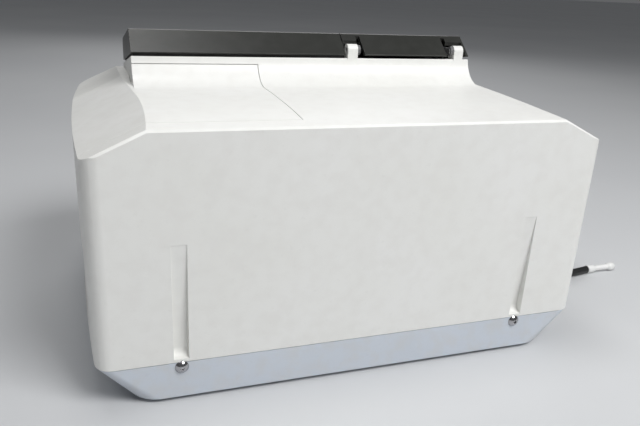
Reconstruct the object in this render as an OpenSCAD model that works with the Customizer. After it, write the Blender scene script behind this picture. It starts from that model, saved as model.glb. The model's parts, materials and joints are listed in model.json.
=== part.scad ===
// Bench-top thermal cycler with a hinged heated lid beside a touch panel.
// +X is the user's right, +Y the rear, +Z up. The origin is on the bench under the middle of the casing.
// Many places are given as a depth w, counted from the flat rear face towards the user.

/* [Casing] */
// Width across the rear corners
body_w = 458; // [454:1:460]
// Depth from the rear face to the front face
body_d = 330; // [328:1:336]
// How far each side face bows outwards at mid depth
side_bow = 7; // [5:0.5:9]
// Radius of the upright corners
corner_r = 14; // [12:1:18]
// Wall thickness of the mouldings
wall = 3; // [2.6:0.2:3.4]
// Height of the rubber feet below the base pan
foot_h = 4; // [3:0.5:5]
// Height of the seam between base pan and housings
seam_z = 37; // [35:1:39]
// Height of the roof at its rear edge
roof_z = 233; // [231:0.5:234]
// Rise of the roof from its rear edge to its crown
roof_rise = 5; // [4:0.5:6]
// Half width of the raised console
console_half = 180.5; // [180:0.5:181]
// Height of the console at its rear top edge
console_z = 263; // [262:0.5:264]
// Slope of the console, panel and lid, falling towards the user
slope = 10; // [9:0.5:10]
// Gap of a visible seam between two mouldings
seam_gap = 0.6; // [0.4:0.1:0.8]

/* [Panel and lid] */
// Plane between the control panel and the lid
split_x = -35; // [-36:0.5:-34]
// Depth w of the band's rear bottom edge
band_rear = 174; // [173:0.5:175]
// Depth w of the ridge at the top of the rear bevel
ridge_w = 198; // [196:1:200]
// Height of that ridge
ridge_z = 286; // [285:0.5:287]
// Depth w of the band's front edge
band_front = 323; // [322:0.5:324]
// Depth w of the lid's hinge axis
hinge_w = 180; // [179.5:0.5:180.5]
// Height of the lid's hinge axis
hinge_z = 271; // [270.5:0.5:271.5]
// Radius of the hinge pins
hinge_pin_r = 2.5; // [2:0.25:3]

/* [Block] */
// Middle of the sample block, along X
block_x = -108; // [-109:0.5:-107]
// Middle of the sample block, as a depth w
block_w = 252; // [251:0.5:253]
// Height of the block's top face
block_z = 234; // [233:0.5:234.5]
// Well spacing of the block
pitch = 9; // [9:0.1:9]
// Radius of a well's mouth
well_r = 2.9; // [2.7:0.1:3]

/* [Screws and vents] */
// Distance of the rear screws and flutes from the middle
flute_x = 161.5; // [158:0.5:164]
// Width of a flute in the rear face
flute_wide = 12.4; // [11:0.2:13]
// Height at which a flute fades out
flute_top = 142; // [138:1:146]
// Radius of the domed rear screw heads
screw_head_r = 5.9; // [5:0.1:6]
// Height of the side vents
vent_h = 68; // [60:2:70]

/* [Lead] */
// Diameter of the lead
lead_d = 9; // [8:0.5:9]
// Middle of the coil along X
coil_x = -302; // [-304:1:-300]
// Middle of the coil along Y
coil_y = -97; // [-100:1:-94]

/* [Hidden] */
$fn = 48;

// Shared positions
rear_y = body_d / 2;
side_r = (pow(body_d / 2, 2) + pow(side_bow, 2)) / (2 * side_bow);
chamfer_low = [body_w / 2, roof_z - 22];
chamfer_high = [182.4, roof_z + 0.1];
chamfer_slope = (chamfer_high[1] - chamfer_low[1]) / (chamfer_low[0] - chamfer_high[0]);
chamfer_toe = 4.6;
base_half = 203;
crease_w = 212;
crease_slope = 3;
crown_w = 120;
fillet_r = 30;
console_w = 175;
roof_top = roof_z + roof_rise;
split_half = 0.5;
lid_left = -180;
panel_right = console_half;
lid_right = split_x - split_half;
panel_left = split_x + split_half;
ear_xs = [[-48, -37], [-173, -162]];
knuckle_xs = [[-51.4, -48.4], [-161.6, -158.6]];
slot_wide = 4.7;
inlet_w = 120;
inlet_z = 74;
plate_half = [57, 38];
plate_z = 241.5;
plate_t = 7;
lid_plate_z = 257;
latch_w = 312;
latch_z = 252;
fan_z = 104;
exhaust_w = 105;
exhaust_z = 92;
switch_w = 62;
rocker_tilt = 8;
flute_low = seam_z + 11;
flute_deep = 7;
flute_step = 0.4;
wide = 300;

// Depth w to Y
function y_of(w) = rear_y - w;
// Height of a plane parallel to the console at depth w, where it is z0 at depth w0
function sloped(w, w0, z0) = z0 - (w - w0) * tan(slope);
// Points of an arc about c
function arc(c, r, a0, a1, n) = [for (i = [0:n]) c + r * [cos(a0 + (a1 - a0) * i / n), sin(a0 + (a1 - a0) * i / n)]];
function flip_x(pts) = [for (i = [len(pts) - 1:-1:0]) [-pts[i][0], pts[i][1]]];
function flip_y(pts) = [for (i = [len(pts) - 1:-1:0]) [pts[i][0], -pts[i][1]]];

// One quarter of the casing's plan: bowed side, then rounded corner
function plan_quarter(inset, big_r, r, cx, cy, mid_x) =
    concat(arc([mid_x, 0], big_r, 0.2, asin(cy / (big_r - r)), 8), arc([cx, cy], r, asin(cy / (big_r - r)), 90, 8));

// A box from two X values, two depths w and two heights
module box(x0, x1, w0, w1, z0, z1) {
    translate([x0, y_of(w1), z0])
        cube([x1 - x0, w1 - w0, z1 - z0]);
}

// A prism along X from points [w, z]
module along_x(x0, x1, pts) {
    translate([x0, 0, 0])
        rotate([90, 0, 90])
            linear_extrude(x1 - x0)
                polygon([for (p = pts) [y_of(p[0]), p[1]]]);
}

// Everything below a plane that falls with the console and is z0 high at depth w0
module below_slope(w0, z0) {
    translate([0, y_of(w0), z0])
        rotate([slope, 0, 0])
            translate([-wide, -wide, -wide])
                cube([2 * wide, 2 * wide, wide]);
}

// Children drawn on the sloping top face: x is X, y runs towards the rear, z leaves the face
module on_top(x, w) {
    translate([x, y_of(w), sloped(w, ridge_w, ridge_z)])
        rotate([slope, 0, 0])
            children();
}

module rounded_plate(size, r, h) {
    linear_extrude(h)
        offset(r)
            square([size[0] - 2 * r, size[1] - 2 * r], center = true);
}

// ---- casing envelope ----

module plan_prism(inset) {
    big_r = side_r - inset;
    r = corner_r - inset;
    mid_x = body_w / 2 + side_bow - side_r;
    cy = body_d / 2 - inset - r;
    cx = mid_x + sqrt(pow(big_r - r, 2) - cy * cy);
    quarter = plan_quarter(inset, big_r, r, cx, cy, mid_x);
    half = concat(quarter, flip_x(quarter));
    linear_extrude(wide)
        polygon(concat(half, flip_y(half)));
}

// Everything below one chamfer's plane, z high at the crease on the rear face and spreading by `toe` towards the user
module chamfer_side(side, z, toe, inset) {
    out = 200;
    fall = out * chamfer_slope / cos(toe);
    translate([side * chamfer_high[0], rear_y, z - inset * norm([1, chamfer_slope])])
        rotate([90, 0, side * toe])
            translate([0, 0, -wide / 2])
                linear_extrude(3 * wide)
                    polygon([[-side * 2 * wide, -wide], [side * 2 * wide, -wide], [side * out, -fall],
                        [-side * out, fall], [-side * 2 * wide, wide]]);
}

module chamfer_prism(z, toe, inset) {
    intersection() {
        chamfer_side(-1, z, toe, inset);
        chamfer_side(1, z, toe, inset);
    }
}

// A thin rounded slab, half_x wide to each side
module base_slab(half_x, r, inset, z) {
    translate([0, 0, z])
        linear_extrude(0.01)
            polygon([for (c = [[1, 1, 0], [-1, 1, 90], [-1, -1, 180], [1, -1, 270]]) for (i = [0:6])
                [c[0] * (half_x - r), c[1] * (body_d / 2 - inset - r)] + r * [cos(c[2] + i * 15), sin(c[2] + i * 15)]]);
}

// Base: sides that slope inwards below the seam, with corners that round off more towards the bench
module base_prism(inset) {
    top = 52;
    lean = (body_w / 2 - base_half) / (seam_z - foot_h);
    hull() {
        base_slab(base_half - inset * 0.6, 24 - inset, inset, foot_h + inset);
        base_slab(base_half - inset * 0.6 + (top - foot_h - inset) * lean, 8 - inset, inset, top);
    }
    box(-wide, wide, inset, body_d - inset, top, wide);
}

// Roof: rear face, gently rising roof, level run, then falling from the crease
module roof_prism(inset) {
    roof_r = (pow(crown_w, 2) + pow(roof_rise, 2)) / (2 * roof_rise) - inset;
    mid = [crown_w, roof_top - inset - roof_r];
    start = acos((crown_w - inset) / roof_r);
    front_w = body_d + 10;
    along_x(-wide, wide, concat(
        [[front_w, -10], [inset, -10]],
        [for (i = [0:12]) mid + roof_r * [-cos(start + (90 - start) * i / 12), sin(start + (90 - start) * i / 12)]],
        [[crease_w, roof_top - inset], [front_w, roof_top - inset - (front_w - crease_w) * tan(crease_slope)]]));
}

// Raised console under the panel and the lid
module console_prism(inset) {
    front = body_d - inset;
    top = console_z - inset / cos(slope);
    mid = [console_w - fillet_r, roof_top + fillet_r];
    along_x(inset - console_half, console_half - inset, concat(
        [[front, 150], [mid[0], 150]],
        [for (i = [0:10]) if (mid[1] - (fillet_r + inset) * cos(i * 7.8) < top)
            mid + (fillet_r + inset) * [sin(i * 7.8), -cos(i * 7.8)]],
        [[console_w + inset, sloped(console_w + inset, console_w, top)],
            [front - 6, sloped(front - 6, console_w, top)],
            [front, sloped(front - 6, console_w, top) - 7]]));
}

module casing_solid(inset) {
    front_z = chamfer_high[1] + (chamfer_slope * tan(chamfer_toe) + tan(crease_slope)) * crease_w;
    difference() {
        intersection() {
            plan_prism(inset);
            base_prism(inset);
            union() {
                intersection() {
                    roof_prism(inset);
                    union() {
                        intersection() {
                            chamfer_prism(chamfer_high[1], chamfer_toe, inset);
                            box(-wide, wide, -10, crease_w, -10, wide);
                        }
                        intersection() {
                            chamfer_prism(front_z, -atan(tan(crease_slope) / chamfer_slope), inset);
                            box(-wide, wide, crease_w, body_d + 10, -10, wide);
                        }
                    }
                }
                console_prism(inset);
            }
        }
        rear_edge_bevels(inset);
    }
}

// A plane that breaks the roof's rear edge
module roof_edge_bevel(bevel, inset) {
    translate([0, rear_y - inset, roof_z - bevel - inset])
        rotate([-45, 0, 0])
            translate([-wide, -wide, 0])
                cube([2 * wide, 2 * wide, wide]);
}

// A plane that breaks the rear edge of one chamfer
module chamfer_edge_bevel(side, bevel, inset) {
    translate([side * chamfer_low[0], rear_y - inset, chamfer_low[1] - bevel - inset])
        rotate([0, side * atan(chamfer_slope), 0])
            rotate([-45, 0, 0])
                translate([-80, -wide, 0])
                    cube([160, 2 * wide, wide]);
}

module rear_edge_bevels(inset) {
    roof_edge_bevel(1.8, inset);
    chamfer_edge_bevel(1, 2, inset);
    chamfer_edge_bevel(-1, 1.6, inset);
}

module casing_shell() {
    difference() {
        casing_solid(0);
        casing_solid(wall);
    }
}

// Vent field openings, used by the housings and the grilles that fill them
right_vent = [48, 200];
left_vent = [226, 312];
vent_z = 54;
intake = [-150, 150];
intake_z = [52, 78];

module side_field(side, w_range, margin) {
    x = side * (body_w / 2);
    box(x - 12, x + 12, w_range[0] - margin, w_range[1] + margin, vent_z - margin, vent_z + vent_h + margin);
}

module intake_field(margin) {
    box(intake[0] - margin, intake[1] + margin, body_d - 12, body_d + 2, intake_z[0] - margin, intake_z[1] + margin);
}

// Grille blank that follows the casing, a little below its surface
module grille_skin() {
    difference() {
        casing_solid(0.9);
        casing_solid(wall);
    }
}

module dome_screw(head_r, head_h, shank_r, shank_l) {
    ball_r = (head_r * head_r + head_h * head_h) / (2 * head_h);
    difference() {
        union() {
            intersection() {
                translate([0, 0, head_h - ball_r])
                    sphere(ball_r);
                cylinder(r = head_r, h = head_h);
            }
            translate([0, 0, -shank_l])
                cylinder(r = shank_r, h = shank_l);
        }
        translate([0, 0, head_h - 1.4])
            cylinder(r = 1.8, h = 3, $fn = 6);
    }
}

// ---- casing parts ----

foot_xs = [-175, 175];
foot_ws = [35, 295];

module base_pan() {
    color("gainsboro") {
        difference() {
            intersection() {
                casing_shell();
                box(-wide, wide, -10, body_d + 10, 0, seam_z - seam_gap / 2);
            }
            for (x = foot_xs, w = foot_ws)
                translate([x, y_of(w), -1])
                    cylinder(r = 2.2, h = 20);
            for (x = [-flute_x, flute_x])
                translate([x, rear_y + 1, seam_z - 4.5])
                    rotate([90, 0, 0])
                        cylinder(r = 2.1, h = 8);
        }
        for (x = [-150, 0, 150], w = [60, 270])
            translate([x, y_of(w), foot_h + wall - 0.5])
                cylinder(r = 5, h = 5.5);
    }
}

module rubber_feet() {
    color("black")
        for (x = foot_xs, w = foot_ws)
            translate([x, y_of(w), 0])
                difference() {
                    union() {
                        cylinder(r = 11, h = foot_h - 1);
                        cylinder(r = 9.5, h = foot_h);
                    }
                    translate([0, 0, -1])
                        cylinder(r = 5, h = 2.6);
                    cylinder(r = 2.1, h = 10);
                }
}

module base_screws() {
    color("silver")
        for (x = foot_xs, w = foot_ws)
            translate([x, y_of(w), 0.4]) {
                cylinder(r = 4.2, h = 1.2);
                cylinder(r = 2, h = foot_h + wall + 4);
            }
}

module ear(x0, x1) {
    difference() {
        union() {
            box(x0, x1, hinge_w - 6, hinge_w + 6, console_z - 8, hinge_z);
            translate([x0, y_of(hinge_w), hinge_z])
                rotate([0, 90, 0])
                    cylinder(r = 6, h = x1 - x0);
        }
        translate([x0 - 1, y_of(hinge_w), hinge_z])
            rotate([0, 90, 0])
                cylinder(r = hinge_pin_r, h = x1 - x0 + 2);
    }
}

// A flute: straight sides, a floor that sinks towards the bottom and a scooped end
module flute_cut(x) {
    along_x(x - flute_wide / 2, x + flute_wide / 2, concat(
        [[-6, flute_top], [flute_step, flute_top]],
        arc([-1, flute_low], flute_deep + 1, 0, -90, 8),
        [[-6, flute_low - flute_deep - 1]]));
}

module flute_rib(x) {
    box(x - 11, x + 11, wall - 1, wall + 9, seam_z + seam_gap / 2, flute_top - 20);
}

cover_x = 59.5;
cover_top = console_z - 7;
cover_rear = 19;
cover_side = console_half + 0.9;

// Region of the cover that takes the roof's +X corner, drawn with a margin for the seam
module cover_region(margin) {
    box(cover_x - margin, cover_side + 0.2, cover_rear - margin, console_w + wall + 1, roof_z - 6, cover_top + margin);
    box(cover_side - margin, wide, cover_rear - margin, crease_w - seam_gap / 2 + margin, chamfer_low[1] - 3 - margin,
        console_z);
}

// Holes that both housings share: block well, latch slot
module console_openings() {
    box(block_x - 66, block_x + 66, block_w - 49.5, block_w + 49.5, 205, wide);
    box(block_x - 12, block_x + 12, latch_w - 8, latch_w + 9, 215, wide);
}

module inlet_hole() {
    box(-body_w / 2 - 15, -body_w / 2 + 15, inlet_w - 14.5, inlet_w + 14.5, inlet_z - 12.5, inlet_z + 12.5);
    box(-body_w / 2 - 15, -body_w / 2 + 15, switch_w - 12, switch_w + 12, inlet_z - 15, inlet_z + 15);
}

module rear_housing() {
    color("white")
        difference() {
            union() {
                intersection() {
                    casing_shell();
                    box(-wide, wide, -10, crease_w - seam_gap / 2, seam_z + seam_gap / 2, wide);
                }
                for (e = ear_xs)
                    ear(e[0], e[1]);
                for (x = [-flute_x, flute_x])
                    flute_rib(x);
            }
            for (x = [-flute_x, flute_x])
                flute_cut(x);
            cover_region(seam_gap);
            console_openings();
            side_field(1, right_vent, 0);
            inlet_hole();
            for (x = [-flute_x, flute_x])
                translate([x, rear_y + 1, seam_z - 4.5])
                    rotate([90, 0, 0])
                        cylinder(r = 2.1, h = 8);
        }
}

module rear_screws() {
    color("silver")
        for (x = [-flute_x, flute_x])
            translate([x, rear_y, seam_z - 4.5])
                rotate([-90, 0, 0])
                    dome_screw(screw_head_r, 3.2, 2, 7);
}

module display_side_cover() {
    color("white")
        intersection() {
            casing_shell();
            cover_region(0);
        }
}

module front_housing() {
    color("white")
        difference() {
            intersection() {
                casing_shell();
                box(-wide, wide, crease_w + seam_gap / 2, body_d + 10, seam_z + seam_gap / 2, wide);
            }
            console_openings();
            side_field(-1, left_vent, 0);
            intake_field(0);
            box(118, 134, body_d - 10, body_d + 10, 150, 158);
        }
}

module right_vent_grille() {
    color("dimgray")
        difference() {
            intersection() {
                grille_skin();
                side_field(1, right_vent, -0.3);
            }
            for (i = [0:8])
                box(body_w / 2 - 20, body_w / 2 + 20, right_vent[0] + 7, right_vent[1] - 7,
                    vent_z + 5.5 + i * 7, vent_z + 9 + i * 7);
        }
}

module left_vent_grille() {
    color("dimgray")
        difference() {
            intersection() {
                grille_skin();
                side_field(-1, left_vent, -0.3);
            }
            for (i = [0:8])
                box(-body_w / 2 - 20, -body_w / 2 + 20, left_vent[0] + 6, left_vent[1] - 6,
                    vent_z + 5.5 + i * 7, vent_z + 9 + i * 7);
        }
}

module front_intake_grille() {
    color("dimgray")
        difference() {
            intersection() {
                grille_skin();
                intake_field(-0.3);
            }
            for (x = [intake[0] + 7:8:intake[1] - 7])
                box(x, x + 3.5, body_d - 12, body_d + 2, intake_z[0] + 4, intake_z[1] - 4);
        }
}

// ---- control panel ----

// Side view of the band shared by panel and lid, moved inwards
module band_prism(x0, x1, inset) {
    top = ridge_z - inset / cos(slope);
    rear = band_rear + inset * 1.6;
    bottom = console_z + 3;
    ridge = ridge_w + inset * 0.4;
    front = band_front - inset;
    along_x(x0, x1, [
        [rear, sloped(rear, band_rear, bottom) - inset],
        [rear, sloped(rear, band_rear, bottom) + 1],
        [ridge - 1, sloped(ridge, ridge_w, top) - 0.6],
        [ridge + 1.2, sloped(ridge + 1.2, ridge_w, top)],
        [front - 9, sloped(front - 9, ridge_w, top)],
        [front - 3, sloped(front - 3, ridge_w, top) - 1.5],
        [front, sloped(front, ridge_w, top) - 6],
        [front, sloped(front, band_rear, bottom) - inset]]);
}

display_x = 62;
display_w = 258;
display_size = [162, 96];
button_x = 162;
button_w = 288;

module control_panel_shell() {
    color("#222222")
        difference() {
            band_prism(panel_left, panel_right, 0);
            band_prism(panel_left + wall, panel_right - wall, wall);
            on_top(display_x, display_w)
                translate([-display_size[0] / 2, -display_size[1] / 2, -8])
                    cube([display_size[0], display_size[1], 20]);
            on_top(button_x, button_w)
                translate([0, 0, -8])
                    cylinder(r = 7.3, h = 20);
        }
}

module panel_gasket() {
    color("black")
        difference() {
            intersection() {
                box(panel_left + 2, panel_right - 2, band_rear + 3, band_front - 3, 200, wide);
                below_slope(band_rear, console_z + 2.9);
            }
            box(panel_left + 8, panel_right - 8, band_rear + 9, band_front - 9, 190, wide);
            below_slope(console_w, console_z + 0.1);
        }
}

module display_bezel() {
    color("#111111")
        on_top(display_x, display_w)
            difference() {
                translate([0, 0, -3])
                    rounded_plate([display_size[0] - 0.6, display_size[1] - 0.6], 4, 3.6);
                translate([0, 0, -1.6])
                    rounded_plate([display_size[0] - 7, display_size[1] - 7], 3, 5);
                translate([0, 0, -5])
                    rounded_plate([display_size[0] - 14, display_size[1] - 14], 2, 10);
            }
}

module display_glass() {
    color("midnightblue")
        on_top(display_x, display_w)
            translate([0, 0, -1.4])
                rounded_plate([display_size[0] - 7.6, display_size[1] - 7.6], 2.8, 1.5);
}

module display_board() {
    color("darkgreen")
        on_top(display_x, display_w) {
            translate([-78, -45, -9.5])
                cube([156, 90, 6]);
            translate([-80, -47, -11.3])
                cube([160, 94, 1.6]);
            translate([-60, -30, -14])
                cube([24, 24, 2.6]);
            translate([10, -35, -14.5])
                cube([40, 9, 3.1]);
        }
}

module standby_button() {
    color("#333333")
        on_top(button_x, button_w) {
            translate([0, 0, -5])
                cylinder(r = 6.8, h = 6);
            translate([0, 0, -9])
                cylinder(r = 3, h = 4.2);
        }
}

module usb_port() {
    color("silver")
        difference() {
            box(118.5, 133.5, body_d - 12, body_d - 0.8, 150.5, 157.5);
            box(119.5, 132.5, body_d - 3.8, body_d + 1, 151.3, 156.7);
        }
}

// ---- sample block and cooling ----

module block_surround() {
    well = [64.5, 48];
    color("#3a3a3a")
        difference() {
            intersection() {
                union() {
                    box(block_x - well[0], block_x + well[0], block_w - well[1], block_w + well[1], 226, wide);
                    difference() {
                        box(block_x - 68.5, block_x + 68.5, block_w - 51.5, block_w + 51.5, 200, wide);
                        below_slope(console_w, console_z + 0.1);
                    }
                }
                below_slope(console_w, console_z + 1.6);
            }
            box(block_x - well[0] + 2, block_x + well[0] - 2, block_w - well[1] + 2, block_w + well[1] - 2, 228, wide);
            box(block_x - 57.5, block_x + 57.5, block_w - 39.5, block_w + 39.5, 220, wide);
        }
}

module sample_block() {
    color("silver")
        difference() {
            union() {
                box(block_x - 56, block_x + 56, block_w - 38, block_w + 38, 214, 222);
                box(block_x - 54, block_x + 54, block_w - 36, block_w + 36, 222, block_z);
            }
            for (i = [0:11], j = [0:7])
                translate([block_x + (i - 5.5) * pitch, y_of(block_w) + (j - 3.5) * pitch, block_z - 12])
                    cylinder(r = well_r, h = 14);
        }
}

module block_gasket() {
    color("black")
        difference() {
            box(block_x - 59, block_x + 59, block_w - 41, block_w + 41, 222.6, 225.6);
            box(block_x - 54.4, block_x + 54.4, block_w - 36.4, block_w + 36.4, 220, 230);
        }
}

module peltier_modules() {
    color("ivory")
        for (x = [-36, 0, 36], w = [-18.5, 18.5])
            box(block_x + x - 17, block_x + x + 17, block_w + w - 17, block_w + w + 17, 210.2, 213.8);
}

module heat_sink() {
    fins = 20;
    color("gray") {
        box(block_x - 62, block_x + 62, block_w - 46, block_w + 46, 200, 210);
        for (i = [0:fins - 1])
            box(block_x - 60 + i * 6.2, block_x - 58 + i * 6.2, block_w - 44, block_w + 44, 138, 200.5);
    }
}

module block_bracket() {
    color("lightgray")
        for (x = [-66, 64]) {
            for (w = [-44, 52])
                box(block_x + x, block_x + x + 2, block_w + w, block_w + w + 8, 14, 208);
            box(block_x + x, block_x + x + 2, block_w - 44, block_w + 60, 198, 208);
        }
}

module fan_frame(size, depth) {
    difference() {
        translate([-size / 2, -size / 2, 0])
            cube([size, size, depth]);
        translate([0, 0, -1])
            cylinder(r = size / 2 - 2, h = depth + 2);
        for (x = [-1, 1], y = [-1, 1])
            translate([x * (size / 2 - 5), y * (size / 2 - 5), -1])
                cylinder(r = 2.15, h = depth + 2);
    }
    difference() {
        union() {
            cylinder(r = size * 0.19, h = 3);
            for (a = [45:90:315])
                rotate([0, 0, a])
                    translate([size * 0.15, -1.5, 0])
                        cube([size / 2 - 1.4 - size * 0.15, 3, 3]);
        }
        translate([0, 0, -1])
            cylinder(r = 2.06, h = 5);
    }
}

module fan_rotor(size, depth, blades) {
    translate([0, 0, 3.8])
        cylinder(r = size * 0.19, h = depth - 5);
    cylinder(r = 2, h = 4);
    for (i = [0:blades - 1])
        rotate([0, 0, i * 360 / blades])
            translate([size * 0.17, 0, depth / 2 + 1])
                rotate([38, 0, 0])
                    translate([0, -size * 0.13, -0.8])
                        cube([size * 0.28, size * 0.26, 1.6]);
}

module cooling_fan_frame() {
    color("#2b2b2b")
        translate([block_x, y_of(block_w + 1), fan_z])
            fan_frame(92, 25);
}

module cooling_fan_rotor() {
    color("#444444")
        translate([block_x, y_of(block_w + 1), fan_z])
            fan_rotor(88, 23, 7);
}

module exhaust_place() {
    translate([body_w / 2 - 32, y_of(exhaust_w), exhaust_z])
        rotate([0, 90, 0])
            children();
}

module exhaust_fan_frame() {
    color("#2b2b2b")
        exhaust_place()
            fan_frame(60, 20);
}

module exhaust_fan_rotor() {
    color("#444444")
        exhaust_place()
            fan_rotor(56, 18, 7);
}

// Plenum under the fan, open on top and towards the left side vent
module air_duct() {
    color("#555555")
        difference() {
            box(-218, block_x + 46, block_w - 32, block_w + 48, 54, fan_z - 0.3);
            box(-222, block_x + 44, block_w - 30, block_w + 46, 56, fan_z + 1);
        }
}

module chassis_plate() {
    color("lightsteelblue")
        difference() {
            box(-196, 196, 10, 320, 12.1, 13.7);
            for (x = [-150, 0, 150], w = [60, 270])
                translate([x, y_of(w), 10])
                    cylinder(r = 2.2, h = 6);
        }
}

module power_supply() {
    color("silver") {
        difference() {
            box(30, 175, 60, 158, 14, 56);
            box(31.2, 173.8, 61.2, 156.8, 15.2, 54.8);
            for (i = [0:15], j = [0:6])
                translate([42 + i * 8, y_of(75 + j * 10), 50])
                    cylinder(r = 2, h = 10);
        }
        box(40, 120, 70, 140, 15, 17);
        for (x = [50, 75])
            translate([x, y_of(105), 16.5])
                cylinder(r = 9, h = 30);
        box(95, 125, 90, 120, 16.5, 42);
    }
}

module main_board() {
    color("darkgreen") {
        box(-10, 180, 190, 310, 60, 61.6);
        for (x = [0, 170], w = [200, 300])
            translate([x, y_of(w), 13.8])
                cylinder(r = 3, h = 46.4);
        box(40, 80, 220, 260, 61.5, 64);
        box(46, 74, 226, 254, 63.8, 76);
        for (i = [0:4])
            translate([100 + i * 15, y_of(210), 61.5])
                cylinder(r = 5, h = 16);
        box(110, 165, 285, 300, 61.5, 72);
        box(0, 25, 260, 295, 61.5, 66);
    }
}

// ---- mains inlet and switch ----

module mains_inlet() {
    x = -body_w / 2;
    color("#222222")
        difference() {
            union() {
                box(x - 5.4, x - 2.4, inlet_w - 14, inlet_w + 14, inlet_z - 12, inlet_z + 12);
                box(x - 3, x + 26, inlet_w - 13, inlet_w + 13, inlet_z - 11, inlet_z + 11);
            }
            box(x - 10, x + 12, inlet_w - 11.2, inlet_w + 11.2, inlet_z - 8.7, inlet_z + 8.7);
        }
}

module switch_frame() {
    x = -body_w / 2;
    color("#222222")
        difference() {
            box(x - 4.2, x + 16, switch_w - 11.5, switch_w + 11.5, inlet_z - 14.5, inlet_z + 14.5);
            box(x - 10, x + 11, switch_w - 9, switch_w + 9, inlet_z - 12, inlet_z + 12);
            translate([x + 6, y_of(switch_w) - 10.4, inlet_z])
                rotate([-90, 0, 0])
                    cylinder(r = 1.56, h = 20.8);
        }
}

// The rocker tilts about an axis along Y; its face is a shallow V
module switch_rocker() {
    half = 10.2;
    color("#333333")
        translate([-body_w / 2 + 6, y_of(switch_w), inlet_z]) {
            rotate([0, rocker_tilt, 0])
                rotate([90, 0, 0])
                    translate([0, 0, -8.6])
                        linear_extrude(17.2)
                            polygon([[-8, -half], [-6.4, 0], [-8, half], [-2, half], [2.5, 3], [2.5, -3], [-2, -half]]);
            translate([0, -10.1, 0])
                rotate([-90, 0, 0])
                    cylinder(r = 1.5, h = 20.2);
        }
}

// ---- hinge, catch and lid ----

module hinge_pin(x0, x1) {
    translate([x0, y_of(hinge_w), hinge_z])
        rotate([0, 90, 0])
            cylinder(r = hinge_pin_r, h = x1 - x0);
}

module hinge_pins() {
    color("silver") {
        hinge_pin(knuckle_xs[0][0] - 0.8, ear_xs[0][1] - 0.5);
        hinge_pin(ear_xs[1][0] + 0.5, knuckle_xs[1][1] + 0.8);
    }
}

module latch_catch() {
    color("silver") {
        translate([block_x - 11, y_of(306.6), 234.6])
            rotate([0, 90, 0])
                cylinder(r = 1.8, h = 22);
        intersection() {
            below_slope(console_w, console_z - wall / cos(slope) - 0.1);
            for (x = [-13, 11])
                box(block_x + x, block_x + x + 2, 303.6, 320.5, 226, 240);
        }
    }
}

// Notch round an ear and its knuckle, with a taller slot beside the knuckle
module ear_notch(x0, x1, slot_x) {
    box(x0, x1, band_rear - 5, 190.5, 250, hinge_z + 8.5);
    box(slot_x, slot_x + slot_wide, band_rear - 5, 196, 250, ridge_z - 2.5);
}

module lid_cover() {
    color("#222222")
        difference() {
            band_prism(lid_left, lid_right, 0);
            band_prism(lid_left + wall, lid_right - wall, wall);
            ear_notch(knuckle_xs[0][0] - slot_wide, lid_right + 1, knuckle_xs[0][0] - slot_wide - 0.4);
            ear_notch(ear_xs[1][0] - 4.6, knuckle_xs[1][1] + slot_wide, knuckle_xs[1][1] + 0.4);
            box(block_x - 33, block_x + 33, band_front - 5, band_front + 5, 230, sloped(band_front, ridge_w, ridge_z) - 9);
        }
}

module lid_frame() {
    color("darkgray")
        difference() {
            union() {
                box(block_x - 61.8, block_x + 61.8, 210, 302, lid_plate_z, lid_plate_z + 2.5);
                for (x = [block_x - 61.8, block_x + 59.8])
                    box(x, x + 2, 210, 302, lid_plate_z, 262);
                for (k = knuckle_xs) {
                    box(k[0], k[1], hinge_w, 214, hinge_z - 4, hinge_z + 3);
                    box(k[0], k[1], 210, 216, lid_plate_z, hinge_z + 3);
                    translate([k[0], y_of(hinge_w), hinge_z])
                        rotate([0, 90, 0])
                            cylinder(r = 5, h = k[1] - k[0]);
                }
                for (x = [block_x - 35, block_x + 32])
                    box(x, x + 3, 298, latch_w + 4, latch_z - 4, lid_plate_z + 2.5);
            }
            for (k = knuckle_xs)
                translate([k[0] - 1, y_of(hinge_w), hinge_z])
                    rotate([0, 90, 0])
                        cylinder(r = hinge_pin_r + 0.05, h = k[1] - k[0] + 2);
            translate([block_x - 40, y_of(latch_w), latch_z])
                rotate([0, 90, 0])
                    cylinder(r = 2, h = 80);
            for (b = bolt_at)
                translate([block_x + b[0], y_of(block_w) + b[1], lid_plate_z - 1])
                    cylinder(r = 2, h = 2.5);
        }
}

module lid_seal() {
    color("black")
        difference() {
            box(block_x - 61.5, block_x + 61.5, block_w - 42, block_w + 43, 250, lid_plate_z);
            box(block_x - 59, block_x + 59, block_w - 39.5, block_w + 40.5, 240, lid_plate_z + 1);
        }
}

bolt_at = [[-48, -30], [48, -30], [-48, 30], [48, 30]];

module heated_plate() {
    color("silver")
        difference() {
            box(block_x - plate_half[0], block_x + plate_half[0], block_w - plate_half[1], block_w + plate_half[1],
                plate_z, plate_z + plate_t);
            for (b = bolt_at) {
                translate([block_x + b[0], y_of(block_w) + b[1], plate_z - 1])
                    cylinder(r = 2.06, h = 20);
                translate([block_x + b[0], y_of(block_w) + b[1], plate_z - 1])
                    cylinder(r = 4.2, h = 4.5);
            }
        }
}

module plate_bolts() {
    color("gray")
        for (b = bolt_at)
            translate([block_x + b[0], y_of(block_w) + b[1], plate_z + 0.3]) {
                cylinder(r = 3.8, h = 3.1);
                cylinder(r = 2, h = lid_plate_z + 1 - plate_z);
            }
}

module plate_springs() {
    color("silver")
        for (b = bolt_at)
            translate([block_x + b[0], y_of(block_w) + b[1], plate_z + plate_t])
                difference() {
                    cylinder(r = 4, h = lid_plate_z - plate_z - plate_t);
                    translate([0, 0, -1])
                        cylinder(r = 2.5, h = 20);
                }
}

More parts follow.
